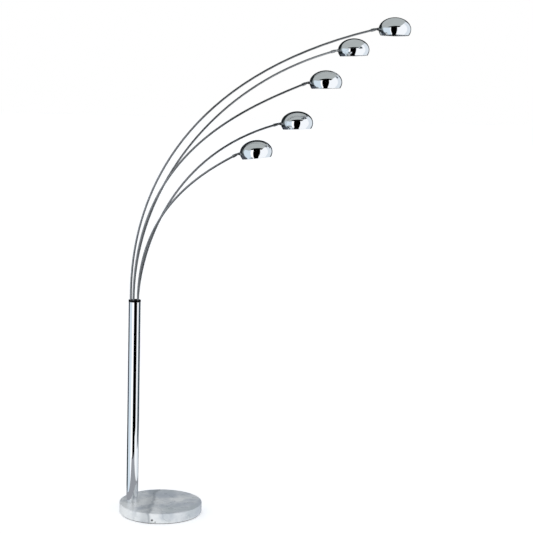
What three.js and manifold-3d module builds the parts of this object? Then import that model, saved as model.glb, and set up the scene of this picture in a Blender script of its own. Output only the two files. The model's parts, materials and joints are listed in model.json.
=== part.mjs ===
// Arc floor lamp: a round marble base, one chrome column near its edge, and five slim bent arms
// that swivel in the column's top, each ending in a chrome dome shade on a swivel-and-tilt neck.
//
// Millimetres, +Z up. The origin is the centre of the base's underside, and the arms reach
// towards +X. Arm 1 is the lowest and arm 5 the highest.

import * as THREE from 'three';
import { mergeVertices } from 'three/addons/utils/BufferGeometryUtils.js';
import Module from 'manifold-3d';

const wasm = await Module();
wasm.setup();

// ---------------------------------------------------------------- clearances

const SEAT_GAP = 0.3; // between a piece and the hole that it sits in
const TURN_GAP = 0.25; // around an arm's shank in its sockets
const FACE_GAP = 0.3; // between two faces that meet inside a turned group

// ---------------------------------------------------------------- base

const BASE_RADIUS = 170;
const BASE_THICKNESS = 40;
const BASE_EDGE_ROUND = 2.5;
const BASE_SIDES = 48;
const PAD_SETBACK = 4; // from the base's rim to the pad's
const PAD_THICKNESS = 3;
const BASE_BOTTOM = PAD_THICKNESS;
const BASE_TOP = BASE_BOTTOM + BASE_THICKNESS;

const CHANNEL_WIDTH = 9;
const CHANNEL_DEPTH = 9;
const BUSHING_LENGTH = 10;
const BUSHING_INSET = 1.5;
const CORD_RADIUS = 3;

// ---------------------------------------------------------------- column and its fixing

const COLUMN_RADIUS = 24;
const COLUMN_WALL = 1.5;
const COLUMN_LENGTH = 836;
const COLUMN_INSET = 28; // from the base's rim to the column
const COLUMN_X = -(BASE_RADIUS - COLUMN_INSET - COLUMN_RADIUS);
const COLUMN_TOP = BASE_TOP + COLUMN_LENGTH;
const COLUMN_BORE = COLUMN_RADIUS - COLUMN_WALL;
const INSERT_RADIUS = COLUMN_BORE - SEAT_GAP;

const PLUG_LENGTH = 30;
const ROD_RADIUS = 6;
const ROD_BORE = 3.5;
const ROD_HOLE = ROD_RADIUS + SEAT_GAP;
const ROD_TAIL = 4; // how far the rod stands out below the nut
const WASHER_RADIUS = 19;
const WASHER_THICKNESS = 2.5;
const NUT_ACROSS_FLATS = 19;
const NUT_THICKNESS = 7;

const RECESS_MARGIN = 5; // around the washer
const RECESS_SPARE = 1.5; // below the rod's tail
const RECESS_DEPTH = WASHER_THICKNESS + NUT_THICKNESS + ROD_TAIL + RECESS_SPARE;
const RECESS_CEILING = BASE_BOTTOM + RECESS_DEPTH;
const WASHER_BOTTOM = RECESS_CEILING - WASHER_THICKNESS;
const NUT_BOTTOM = WASHER_BOTTOM - NUT_THICKNESS;

// ---------------------------------------------------------------- collar and guide for the arms

const COLLAR_OVERHANG = 1; // past the column's outside
const COLLAR_FLANGE = 8;
const COLLAR_SKIRT = 30;
const COLLAR_EDGE_ROUND = 1.5;
const COLLAR_TOP = COLUMN_TOP + COLLAR_FLANGE;

const GUIDE_DEPTH = 165; // from the column's top to the guide's
const GUIDE_TOP = COLUMN_TOP - GUIDE_DEPTH;
const GUIDE_THICKNESS = 14;
const GUIDE_FLOOR = 4; // left under the arms' feet

const SOCKET_WALL = 1.75; // left between a socket and the outside of the insert
const SOCKET_SIDES = 12;
const WIRE_HOLE = 2.2;

// ---------------------------------------------------------------- arms

const ARM_RADIUS = 4.2;
const ARM_WALL = 1;
const ARM_SIDES = 8;
const BEND_STEPS = 20;
const SHANK_SHOWING = 4; // straight stretch above the collar
const SOCKET_CIRCLE = INSERT_RADIUS - SOCKET_WALL - TURN_GAP - ARM_RADIUS; // through the shanks
const SHANK_TOP = COLLAR_TOP + SHANK_SHOWING;
const SHANK_BOTTOM = GUIDE_TOP - GUIDE_THICKNESS + GUIDE_FLOOR + FACE_GAP;

// socket is the angle of the arm's socket on its circle. The arm bends in one upright plane, which
// heading turns about the shank. reach and rise place the arm's end from the top of the shank, and
// endSlope is its slope there. lowerPull and upperPull say how far the arm keeps the direction of
// its shank and of its end. shadeSlope is how far the shade's outer edge is tipped up.
const ARMS = [
  {
    number: 1, socket: -36, heading: -9, reach: 380.5, rise: 591,
    endSlope: 29, lowerPull: 354, upperPull: 176, shadeSlope: 7.5,
  },
  {
    number: 2, socket: 36, heading: 0, reach: 542, rise: 716,
    endSlope: 17, lowerPull: 30, upperPull: 541, shadeSlope: 3.5,
  },
  {
    number: 3, socket: -108, heading: -4, reach: 665, rise: 880,
    endSlope: 23, lowerPull: 552, upperPull: 340, shadeSlope: 2.5,
  },
  {
    number: 4, socket: 108, heading: 8, reach: 808, rise: 1020,
    endSlope: 17, lowerPull: 424, upperPull: 543, shadeSlope: 3.5,
  },
  {
    number: 5, socket: 180, heading: -2, reach: 948.5, rise: 1102,
    endSlope: 15, lowerPull: 162, upperPull: 988, shadeSlope: 0.5,
  },
];

// ---------------------------------------------------------------- neck, along +X from the arm's end

const SLEEVE_RADIUS = 6;
const SLEEVE_BACK = 8; // grip on the arm
const SLEEVE_FRONT = 6; // bearing for the knuckle's stem
const SLEEVE_EDGE = 0.8;
const STEM_RADIUS = 3;
const STEM_START = 0.8;
const KNUCKLE_RADIUS = 5.5;
const KNUCKLE_COLLAR = 3;
const TONGUE_THICKNESS = 3.6;
const EYE_RADIUS = 4.5;
const EYE_GAP = 0.5; // between a round eye and the face that it turns past
const SCREW_RADIUS = 1.5;
const SCREW_HEAD_RADIUS = 3;
const SCREW_HEAD_HEIGHT = 1.2;
const CHEEK_THICKNESS = 2.2;
const FORK_BASE_RADIUS = 6;
const FORK_BASE_THICKNESS = 4;

const KNUCKLE_START = SLEEVE_FRONT + FACE_GAP;
const PIVOT_X = KNUCKLE_START + KNUCKLE_COLLAR + EYE_GAP + EYE_RADIUS;
const FORK_BASE_START = EYE_RADIUS + EYE_GAP; // measured from the pivot
const CHEEK_INNER = TONGUE_THICKNESS / 2 + SEAT_GAP;
const CHEEK_OUTER = CHEEK_INNER + CHEEK_THICKNESS;

// ---------------------------------------------------------------- shade and light source

const SHADE_RADIUS = 65;
const SHADE_RISE = 48; // crown above the widest level
const SHADE_DROP = 23; // rim below the widest level
const SHADE_WALL = 1.2;
const SHADE_SIDES = 24;
const DOME_STEPS = 7;
const NIPPLE_RADIUS = 4;
const SHADE_NUT_RADIUS = 7.5;
const SHADE_NUT_THICKNESS = 3;
const HOLDER_RADIUS = 9;
const HOLDER_LENGTH = 20;
const HOLDER_SOCKET = 6;
const BULB_RADIUS = 7;
const BULB_LENGTH = 42;

const SHADE_FACE = FORK_BASE_START + FORK_BASE_THICKNESS + FACE_GAP; // from the pivot to the wall
const SHADE_CENTRE = SHADE_FACE + SHADE_RADIUS;
const SHADE_NUT_START = SHADE_FACE + SHADE_WALL + 2;
const HOLDER_START = SHADE_NUT_START + SHADE_NUT_THICKNESS + FACE_GAP;
const NIPPLE_END = HOLDER_START + HOLDER_SOCKET - FACE_GAP;
const BULB_START = HOLDER_START + HOLDER_LENGTH + FACE_GAP;

// ---------------------------------------------------------------- materials

const MATERIALS = {
  chrome: finish(0xd9dde0, 0.06, 1),
  marble: finish(0xe9e9e8, 0.22, 0),
  felt: finish(0x23211f, 0.95, 0),
  steel: finish(0xa9acaf, 0.35, 1),
  blackPlastic: finish(0x0c0c0d, 0.4, 0),
  rubber: finish(0x161616, 0.8, 0),
  ceramic: finish(0xefece4, 0.35, 0),
  glass: finish(0xf4f1ea, 0.08, 0),
};

function finish(color, roughness, metalness) {
  return new THREE.MeshStandardMaterial({ color, roughness, metalness });
}

// ---------------------------------------------------------------- solids

const ON_AXIS = 1e-6; // a radius smaller than this is on the axis

// Merges a geometry's shared corners, and turns its faces outwards if they point in.
function weld(geometry) {
  const bare = geometry.clone();
  bare.deleteAttribute('normal');
  bare.deleteAttribute('uv');
  const merged = mergeVertices(bare, 1e-4);
  if (enclosedVolume(merged) < 0) {
    const index = merged.index.array;
    for (let i = 0; i < index.length; i += 3) {
      [index[i], index[i + 1]] = [index[i + 1], index[i]];
    }
  }
  return merged;
}

function enclosedVolume(geometry) {
  const corners = [0, 1, 2].map(() => new THREE.Vector3());
  let volume = 0;
  for (let i = 0; i < geometry.index.count; i += 3) {
    corners.forEach((corner, k) => {
      corner.fromBufferAttribute(geometry.attributes.position, geometry.index.getX(i + k));
    });
    volume += corners[0].dot(corners[1].clone().cross(corners[2])) / 6;
  }
  return volume;
}

function solid(geometry) {
  const merged = weld(geometry);
  return new wasm.Manifold(new wasm.Mesh({
    numProp: 3,
    vertProperties: new Float32Array(merged.attributes.position.array),
    triVerts: new Uint32Array(merged.index.array),
  }));
}

function named(name, shape, material) {
  const cut = shape.getMesh();
  const geometry = new THREE.BufferGeometry();
  geometry.setAttribute('position', new THREE.BufferAttribute(new Float32Array(cut.vertProperties), 3));
  geometry.setIndex(new THREE.BufferAttribute(new Uint32Array(cut.triVerts), 1));
  const mesh = new THREE.Mesh(geometry, material);
  mesh.name = name;
  return mesh;
}

// Turns an outline of [radius, height] points about Z. An outline that leaves the axis closes on
// itself and makes a ring.
function turned(outline, sides) {
  const points = outline.map(([radius, height]) => new THREE.Vector2(radius, height));
  const onAxis = outline[0][0] === 0 && outline[outline.length - 1][0] === 0;
  if (!onAxis) {
    points.push(points[0].clone());
  }
  const geometry = new THREE.LatheGeometry(points, sides);
  geometry.rotateX(Math.PI / 2);
  return solid(geometry);
}

function disc(radius, low, high, sides) {
  return turned([[0, low], [radius, low], [radius, high], [0, high]], sides);
}

function ring(outer, inner, low, high, sides) {
  return turned([[inner, low], [outer, low], [outer, high], [inner, high]], sides);
}

// A many-sided hole whose flats, not its corners, stand at the given radius.
function hole(radius, low, high, sides) {
  return disc(radius / Math.cos(Math.PI / sides), low, high, sides);
}

function block(sizeX, sizeY, sizeZ, x, y, z) {
  const geometry = new THREE.BoxGeometry(sizeX, sizeY, sizeZ);
  geometry.translate(x, y, z);
  return solid(geometry);
}

function hexagon(acrossFlats, low, high) {
  return disc(acrossFlats / 2 / Math.cos(Math.PI / 6), low, high, 6);
}

// Outline points on an arc about [radius, height], between two angles in degrees above the radius.
function arc([centreRadius, centreHeight], [halfWidth, halfHeight], start, end, steps) {
  const points = [];
  for (let i = 0; i <= steps; i += 1) {
    const angle = THREE.MathUtils.degToRad(start + ((end - start) * i) / steps);
    const radius = centreRadius + halfWidth * Math.cos(angle);
    points.push([Math.abs(radius) < ON_AXIS ? 0 : radius, centreHeight + halfHeight * Math.sin(angle)]);
  }
  return points;
}

function roundedEdge(size, radius, height, start, end, steps) {
  return arc([radius, height], [size, size], start, end, steps);
}

// Lays a piece that was turned about Z along +X instead.
function alongX(shape) {
  return shape.rotate([0, 90, 0]);
}

function alongY(shape) {
  return shape.rotate([-90, 0, 0]);
}

// ---------------------------------------------------------------- base and column

function basePad() {
  return disc(BASE_RADIUS - PAD_SETBACK, 0, PAD_THICKNESS, BASE_SIDES);
}

function marbleBase() {
  const edge = BASE_RADIUS - BASE_EDGE_ROUND;
  const slab = turned([
    [0, BASE_BOTTOM],
    ...roundedEdge(BASE_EDGE_ROUND, edge, BASE_BOTTOM + BASE_EDGE_ROUND, -90, 0, 2),
    ...roundedEdge(BASE_EDGE_ROUND, edge, BASE_TOP - BASE_EDGE_ROUND, 0, 90, 3),
    [0, BASE_TOP],
  ], BASE_SIDES);
  const overrun = 1;
  const rodHole = hole(ROD_HOLE, -overrun, BASE_TOP + overrun, 20);
  const recess = disc(WASHER_RADIUS + RECESS_MARGIN, -overrun, RECESS_CEILING, 28);
  const channel = block(
    CHANNEL_WIDTH,
    BASE_RADIUS,
    CHANNEL_DEPTH + overrun,
    0,
    BASE_RADIUS / 2,
    BASE_BOTTOM + (CHANNEL_DEPTH - overrun) / 2,
  );
  const cuts = rodHole.add(recess).add(channel).translate([COLUMN_X, 0, 0]);
  return slab.subtract(cuts);
}

function cordBushing() {
  const side = CHANNEL_WIDTH - 2 * SEAT_GAP;
  const height = CHANNEL_DEPTH - SEAT_GAP;
  const middle = BASE_BOTTOM + height / 2;
  const rim = Math.sqrt(BASE_RADIUS ** 2 - (Math.abs(COLUMN_X) + CHANNEL_WIDTH) ** 2);
  const bushing = block(side, BUSHING_LENGTH, height, 0, 0, middle);
  const bore = alongY(hole(CORD_RADIUS, -BUSHING_LENGTH, BUSHING_LENGTH, 16)).translate([0, 0, middle]);
  return bushing
    .subtract(bore)
    .translate([COLUMN_X, rim - BUSHING_INSET - BUSHING_LENGTH / 2, 0]);
}

function columnTube() {
  return ring(COLUMN_RADIUS, COLUMN_BORE, BASE_TOP, COLUMN_TOP, 40);
}

function columnFootPlug() {
  const plug = disc(INSERT_RADIUS, BASE_TOP, BASE_TOP + PLUG_LENGTH, 32);
  return plug.subtract(hole(ROD_HOLE, BASE_TOP - 1, BASE_TOP + PLUG_LENGTH + 1, 20));
}

function tieRod() {
  return ring(ROD_RADIUS, ROD_BORE, NUT_BOTTOM - ROD_TAIL, BASE_TOP + PLUG_LENGTH, 16);
}

function baseWasher() {
  const washer = disc(WASHER_RADIUS, WASHER_BOTTOM, RECESS_CEILING, 24);
  return washer.subtract(hole(ROD_HOLE, WASHER_BOTTOM - 1, RECESS_CEILING + 1, 20));
}

function baseNut() {
  const nut = hexagon(NUT_ACROSS_FLATS, NUT_BOTTOM, WASHER_BOTTOM);
  return nut.subtract(hole(ROD_HOLE, NUT_BOTTOM - 1, WASHER_BOTTOM + 1, 20));
}

function socketPlaces() {
  return ARMS.map(({ socket }) => {
    const angle = THREE.MathUtils.degToRad(socket);
    return [SOCKET_CIRCLE * Math.cos(angle), SOCKET_CIRCLE * Math.sin(angle), 0];
  });
}

function withoutAtSockets(body, cutter) {
  return socketPlaces().reduce((rest, place) => rest.subtract(cutter.translate(place)), body);
}

function topCollar() {
  const skirtBottom = COLUMN_TOP - COLLAR_SKIRT;
  const flangeRadius = COLUMN_RADIUS + COLLAR_OVERHANG;
  const body = turned([
    [0, skirtBottom],
    [INSERT_RADIUS, skirtBottom],
    [INSERT_RADIUS, COLUMN_TOP],
    [flangeRadius, COLUMN_TOP],
    ...roundedEdge(
      COLLAR_EDGE_ROUND,
      flangeRadius - COLLAR_EDGE_ROUND,
      COLLAR_TOP - COLLAR_EDGE_ROUND,
      0,
      90,
      1,
    ),
    [0, COLLAR_TOP],
  ], 24);
  const socket = hole(ARM_RADIUS + TURN_GAP, skirtBottom - 1, COLLAR_TOP + 1, SOCKET_SIDES);
  return withoutAtSockets(body, socket);
}

function lowerGuide() {
  const bottom = GUIDE_TOP - GUIDE_THICKNESS;
  const socket = hole(ARM_RADIUS + TURN_GAP, bottom + GUIDE_FLOOR, GUIDE_TOP + 1, SOCKET_SIDES);
  const wireHole = hole(WIRE_HOLE, bottom - 1, GUIDE_TOP, 12);
  return withoutAtSockets(disc(INSERT_RADIUS, bottom, GUIDE_TOP, 32), socket.add(wireHole));
}

// ---------------------------------------------------------------- arm tube

// The arm's centre line: one straight step up the shank, then equal steps round the bend.
class ArmLine extends THREE.Curve {
  constructor({ reach, rise, endSlope, lowerPull, upperPull }) {
    super();
    const slope = THREE.MathUtils.degToRad(endSlope);
    const end = new THREE.Vector3(reach, 0, SHANK_TOP + rise);
    const along = new THREE.Vector3(Math.cos(slope), 0, Math.sin(slope));
    this.foot = new THREE.Vector3(0, 0, SHANK_BOTTOM);
    this.bend = new THREE.CubicBezierCurve3(
      new THREE.Vector3(0, 0, SHANK_TOP),
      new THREE.Vector3(0, 0, SHANK_TOP + lowerPull),
      end.clone().addScaledVector(along, -upperPull),
      end,
    );
  }

  getPointAt(share) {
    const step = share * (BEND_STEPS + 1);
    if (step <= 1) {
      return this.foot.clone().lerp(this.bend.getPointAt(0), step);
    }
    return this.bend.getPointAt(Math.min(1, (step - 1) / BEND_STEPS));
  }

  getTangentAt(share) {
    const step = share * (BEND_STEPS + 1);
    return this.bend.getTangentAt(THREE.MathUtils.clamp((step - 1) / BEND_STEPS, 0, 1));
  }
}

function roundOutline(radius, sides, Kind) {
  const outline = new Kind();
  for (let i = 0; i < sides; i += 1) {
    const angle = (2 * Math.PI * i) / sides;
    const draw = i === 0 ? 'moveTo' : 'lineTo';
    outline[draw](radius * Math.cos(angle), radius * Math.sin(angle));
  }
  outline.closePath();
  return outline;
}

function armTube(arm) {
  const section = roundOutline(ARM_RADIUS, ARM_SIDES, THREE.Shape);
  section.holes.push(roundOutline(ARM_RADIUS - ARM_WALL, ARM_SIDES, THREE.Path));
  return solid(new THREE.ExtrudeGeometry(section, {
    steps: BEND_STEPS + 1,
    extrudePath: new ArmLine(arm),
    bevelEnabled: false,
  }));
}

// ---------------------------------------------------------------- neck pieces

function neckSleeve() {
  const grip = ARM_RADIUS + SEAT_GAP;
  const bearing = STEM_RADIUS + SEAT_GAP;
  return alongX(turned([
    [grip, -SLEEVE_BACK],
    [SLEEVE_RADIUS - SLEEVE_EDGE, -SLEEVE_BACK],
    [SLEEVE_RADIUS, -SLEEVE_BACK + SLEEVE_EDGE],
    [SLEEVE_RADIUS, SLEEVE_FRONT - SLEEVE_EDGE],
    [SLEEVE_RADIUS - SLEEVE_EDGE, SLEEVE_FRONT],
    [bearing, SLEEVE_FRONT],
    [bearing, FACE_GAP],
    [grip, FACE_GAP],
  ], 16));
}

// A flat eye in the XZ plane: a bar that ends in a half-round about the origin.
function eye(thickness, reach) {
  const outline = new THREE.Shape();
  outline.moveTo(reach, EYE_RADIUS);
  outline.lineTo(0, EYE_RADIUS);
  const steps = 8;
  for (let i = 1; i <= steps; i += 1) {
    const angle = Math.PI / 2 + (Math.PI * i) / steps;
    outline.lineTo(EYE_RADIUS * Math.cos(angle), EYE_RADIUS * Math.sin(angle));
  }
  outline.lineTo(reach, -EYE_RADIUS);
  outline.closePath();
  const geometry = new THREE.ExtrudeGeometry(outline, { depth: thickness, bevelEnabled: false });
  geometry.translate(0, 0, -thickness / 2);
  geometry.rotateX(Math.PI / 2);
  return solid(geometry);
}

function screwHole() {
  return alongY(hole(SCREW_RADIUS + SEAT_GAP, -KNUCKLE_RADIUS, KNUCKLE_RADIUS, 12));
}

function swivelKnuckle() {
  const collarEnd = KNUCKLE_START + KNUCKLE_COLLAR;
  const turnedPart = alongX(turned([
    [0, STEM_START],
    [STEM_RADIUS, STEM_START],
    [STEM_RADIUS, KNUCKLE_START],
    [KNUCKLE_RADIUS, KNUCKLE_START],
    [KNUCKLE_RADIUS, collarEnd],
    [0, collarEnd],
  ], 16));
  const tongue = eye(TONGUE_THICKNESS, PIVOT_X - collarEnd + 1)
    .rotate([0, 0, 180])
    .subtract(screwHole())
    .translate([PIVOT_X, 0, 0]);
  return turnedPart.add(tongue);
}

function tiltScrew() {
  const shank = disc(SCREW_RADIUS, -CHEEK_OUTER, CHEEK_OUTER + FACE_GAP, 12);
  const headStart = CHEEK_OUTER + FACE_GAP;
  const head = disc(SCREW_HEAD_RADIUS, headStart, headStart + SCREW_HEAD_HEIGHT, 12);
  return alongY(shank.add(head)).rotate([0, 0, 180]);
}

function shadeFork() {
  const cheekMiddle = (CHEEK_INNER + CHEEK_OUTER) / 2;
  const baseEnd = FORK_BASE_START + FORK_BASE_THICKNESS;
  const cheek = eye(CHEEK_THICKNESS, FORK_BASE_START + 1).subtract(screwHole());
  const base = alongX(disc(FORK_BASE_RADIUS, FORK_BASE_START, baseEnd, 16));
  const nipple = alongX(disc(NIPPLE_RADIUS, baseEnd - 1, NIPPLE_END, 12));
  return cheek
    .translate([0, cheekMiddle, 0])
    .add(cheek.translate([0, -cheekMiddle, 0]))
    .add(base)
    .add(nipple);
}

// ---------------------------------------------------------------- shade and light source

// The dome's outline from the crown on the axis down to the open rim, set in from the outside.
function domeOutline(setIn) {
  const rimAngle = THREE.MathUtils.radToDeg(Math.asin(-SHADE_DROP / SHADE_RISE));
  return arc([0, 0], [SHADE_RADIUS - setIn, SHADE_RISE - setIn], 90, rimAngle, DOME_STEPS);
}

function shade() {
  const shell = turned([...domeOutline(0), ...domeOutline(SHADE_WALL).reverse()], SHADE_SIDES);
  const nippleHole = hole(NIPPLE_RADIUS + SEAT_GAP, -SHADE_RADIUS - 1, -SHADE_RADIUS / 2, 12);
  return shell.subtract(alongX(nippleHole));
}

function shadeNut() {
  const end = SHADE_NUT_START + SHADE_NUT_THICKNESS;
  const nut = disc(SHADE_NUT_RADIUS, SHADE_NUT_START, end, 6);
  return alongX(nut.subtract(hole(NIPPLE_RADIUS + SEAT_GAP, SHADE_NUT_START - 1, end + 1, 12)));
}

function lampHolder() {
  const end = HOLDER_START + HOLDER_LENGTH;
  const body = disc(HOLDER_RADIUS, HOLDER_START, end, 16);
  return alongX(body.subtract(
    hole(NIPPLE_RADIUS + SEAT_GAP, HOLDER_START - 1, HOLDER_START + HOLDER_SOCKET, 12),
  ));
}

function bulb() {
  const shoulder = BULB_START + BULB_LENGTH - BULB_RADIUS;
  return alongX(turned([
    [0, BULB_START],
    [BULB_RADIUS, BULB_START],
    ...roundedEdge(BULB_RADIUS, 0, shoulder, 0, 90, 3),
  ], 12));
}

// ---------------------------------------------------------------- assembly

function shadeGroup({ number, endSlope, shadeSlope }) {
  const group = new THREE.Group();
  group.position.set(PIVOT_X, 0, 0);
  group.rotation.y = THREE.MathUtils.degToRad(endSlope - shadeSlope);

  const dome = named(`shade_${number}`, shade(), MATERIALS.chrome);
  dome.position.set(SHADE_CENTRE, 0, 0);
  group.add(
    dome,
    named(`tilt_screw_${number}`, tiltScrew(), MATERIALS.steel),
    named(`shade_fork_${number}`, shadeFork(), MATERIALS.chrome),
    named(`shade_nut_${number}`, shadeNut(), MATERIALS.steel),
    named(`lamp_holder_${number}`, lampHolder(), MATERIALS.ceramic),
    named(`bulb_${number}`, bulb(), MATERIALS.glass),
  );
  return group;
}

function neckGroup(arm) {
  const group = new THREE.Group();
  group.position.set(arm.reach, 0, SHANK_TOP + arm.rise);
  group.rotation.y = -THREE.MathUtils.degToRad(arm.endSlope);
  group.add(
    named(`neck_sleeve_${arm.number}`, neckSleeve(), MATERIALS.chrome),
    named(`swivel_knuckle_${arm.number}`, swivelKnuckle(), MATERIALS.chrome),
    shadeGroup(arm),
  );
  return group;
}

function armGroup(arm, [x, y]) {
  const group = new THREE.Group();
  group.position.set(COLUMN_X + x, y, 0);
  group.rotation.z = THREE.MathUtils.degToRad(arm.heading);
  group.add(named(`arm_tube_${arm.number}`, armTube(arm), MATERIALS.chrome), neckGroup(arm));
  return group;
}

function columnGroup() {
  const group = new THREE.Group();
  group.position.set(COLUMN_X, 0, 0);
  group.add(
    named('column_tube', columnTube(), MATERIALS.chrome),
    named('column_foot_plug', columnFootPlug(), MATERIALS.steel),
    named('tie_rod', tieRod(), MATERIALS.steel),
    named('base_washer', baseWasher(), MATERIALS.steel),
    named('base_nut', baseNut(), MATERIALS.steel),
    named('top_collar', topCollar(), MATERIALS.blackPlastic),
    named('lower_guide', lowerGuide(), MATERIALS.blackPlastic),
  );
  return group;
}

const lamp = new THREE.Group();
lamp.add(
  named('base_pad', basePad(), MATERIALS.felt),
  named('marble_base', marbleBase(), MATERIALS.marble),
  named('cord_bushing', cordBushing(), MATERIALS.rubber),
  columnGroup(),
);
const sockets = socketPlaces();
ARMS.forEach((arm, i) => lamp.add(armGroup(arm, sockets[i])));

export default lamp;
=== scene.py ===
# %% [markdown]
# # An arc floor lamp, from marble disc to dome shades
# The real lamp has a heavy disc of polished marble, one chrome column near its edge, and five slim
# chrome arms that bend away from the column's top. Each arm ends in a small swivel neck and a dome
# shade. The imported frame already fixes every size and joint, so this script only makes the surfaces
# that the eye judges: round where metal is turned, thin where it is spun, polished where it is plated.

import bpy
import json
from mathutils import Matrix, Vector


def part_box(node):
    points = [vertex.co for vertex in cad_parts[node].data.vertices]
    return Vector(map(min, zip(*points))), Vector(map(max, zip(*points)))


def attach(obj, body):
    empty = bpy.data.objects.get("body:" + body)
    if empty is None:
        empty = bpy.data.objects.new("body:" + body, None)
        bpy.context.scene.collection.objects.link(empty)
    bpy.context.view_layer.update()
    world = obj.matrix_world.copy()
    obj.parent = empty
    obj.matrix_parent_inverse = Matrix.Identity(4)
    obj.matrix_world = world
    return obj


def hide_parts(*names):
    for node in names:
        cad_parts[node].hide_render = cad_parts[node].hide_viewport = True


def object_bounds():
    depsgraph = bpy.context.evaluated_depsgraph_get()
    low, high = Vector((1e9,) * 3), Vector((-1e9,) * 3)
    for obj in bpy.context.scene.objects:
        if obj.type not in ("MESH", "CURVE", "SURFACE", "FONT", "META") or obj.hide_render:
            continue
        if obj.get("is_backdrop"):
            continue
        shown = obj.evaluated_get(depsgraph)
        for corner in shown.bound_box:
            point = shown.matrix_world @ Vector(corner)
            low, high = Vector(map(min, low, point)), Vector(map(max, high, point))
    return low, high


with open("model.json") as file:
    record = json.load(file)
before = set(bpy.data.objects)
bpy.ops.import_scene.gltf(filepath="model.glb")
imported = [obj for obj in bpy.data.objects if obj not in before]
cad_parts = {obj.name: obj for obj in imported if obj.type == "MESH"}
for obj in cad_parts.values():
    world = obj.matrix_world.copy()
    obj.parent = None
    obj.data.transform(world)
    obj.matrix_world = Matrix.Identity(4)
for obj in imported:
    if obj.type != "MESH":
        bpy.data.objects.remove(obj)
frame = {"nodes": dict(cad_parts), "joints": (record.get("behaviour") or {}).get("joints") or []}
cad_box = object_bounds()

# %% The rest of the tools
import json
from math import asin, cos, degrees, pi, radians, sin, sqrt, tan

import bmesh
import bpy
from mathutils import Matrix, Vector

MM = 0.001  # the frame is in metres, and a lamp maker thinks in millimetres
scene = bpy.context.scene

# %% [markdown]
# ## The camera
# A catalogue picture of a tall lamp is taken from across the room with a long lens, a little above
# the shades' middle height and looking slightly down, so that upright lines stay nearly upright.
# The camera is built from how far away it stands, how high, and how it is turned, because those are
# the values that a photographer would set. The small roll is a tripod that stood a degree off level.

# %% Place the camera
CAMERA_DISTANCE = 5.2
CAMERA_HEIGHT = 1.671
CAMERA_TURN = radians(4.567)  # from straight ahead towards the shades
CAMERA_DIP = radians(6.99)
CAMERA_ROLL = radians(1.47)
CAMERA_LENS = 86.97  # on a sensor 36 mm wide

camera = bpy.data.objects.new("camera", bpy.data.cameras.new("camera"))
scene.collection.objects.link(camera)
camera.data.lens = CAMERA_LENS
camera.data.sensor_width = 36
camera.matrix_world = (
    Matrix.Translation((0, -CAMERA_DISTANCE, CAMERA_HEIGHT))
    @ Matrix.Rotation(-CAMERA_TURN, 4, "Z")
    @ Matrix.Rotation(pi / 2 - CAMERA_DIP, 4, "X")
    @ Matrix.Rotation(CAMERA_ROLL, 4, "Z")
)
scene.camera = camera
print("camera at", tuple(round(v, 3) for v in camera.matrix_world.translation))

# %% [markdown]
# ## The studio
# Chrome has almost no colour of its own: what we see in it is the room. A product photographer
# builds that room on purpose, with white panels at the sides, a dark gap where the camera stands,
# and a grey ceiling. The dark gap becomes the crisp black stripe on the column and the black stem on
# every shade. The room could be made of glowing planes, but a world shader is lighter to render and
# never hides the lamp from another side. It works by direction: the azimuth and the elevation of a
# reflected ray decide which panel it meets.

# %% Helpers for node trees
def add_node(tree, kind, inputs=(), **settings):
    """Adds a node, sets its properties, and fills or links its inputs by name or number."""
    node = tree.nodes.new(kind)
    for name, value in settings.items():
        setattr(node, name, value)
    for name, value in dict(inputs).items():
        if isinstance(value, bpy.types.NodeSocket):
            tree.links.new(value, node.inputs[name])
        else:
            node.inputs[name].default_value = value
    return node


def maths(tree, operation, *values):
    return add_node(tree, "ShaderNodeMath", enumerate(values), operation=operation).outputs[0]


def ease(tree, value, start, end, low=0.0, high=1.0):
    """Goes smoothly from low to high while value goes from start to end."""
    inputs = {"Value": value, "From Min": start, "From Max": end, "To Min": low, "To Max": high}
    node = add_node(tree, "ShaderNodeMapRange", inputs, interpolation_type="SMOOTHSTEP")
    return node.outputs["Result"]


def blend_colours(tree, share, first, second, blend_type="MIX"):
    inputs = {"Factor": share, 6: first, 7: second}
    node = add_node(tree, "ShaderNodeMix", inputs, data_type="RGBA", blend_type=blend_type)
    return node.outputs[2]


# %% The panels that stand around the lamp
# Azimuth is 0 straight towards the camera and grows to the right. Each panel is given as its range
# of azimuth, its range of elevation, how soft its edges are, all in degrees, and its light. A later
# panel stands in front of the ones before it.
DARK_ROOM = (0.012, 0.016, 0.018, 1)
STUDIO_PANELS = {
    "pale_wall_right": ((40, 138), (-64, 100), 14, (0.80, 0.86, 0.92, 1)),
    "grey_wall_left": ((-118, -92), (-4, 100), 20, (0.36, 0.41, 0.42, 1)),
    "blue_panel_left": ((-102, -40), (-58, 100), 10, (0.74, 0.85, 0.94, 1)),
    "white_panel_left": ((-44, 10), (-62, 100), 3, (1.25, 1.25, 1.28, 1)),
    "white_panel_right": ((10, 88), (-62, 100), 4, (1.05, 1.07, 1.10, 1)),
}
BACKDROP = (1.0, 1.0, 1.0, 1)
HORIZON_LIGHT = (1.02, 1.03, 1.05, 1)
OVERHEAD_LIGHT = (0.50, 0.53, 0.57, 1)


def within(tree, angle, limits, softness):
    """1 inside the limits, in degrees, and 0 outside them."""
    low, high = (radians(limit) for limit in limits)
    edge = radians(softness) / 2
    rising = ease(tree, angle, low - edge, low + edge)
    falling = ease(tree, angle, high - edge, high + edge, 1.0, 0.0)
    return maths(tree, "MULTIPLY", rising, falling)


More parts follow.
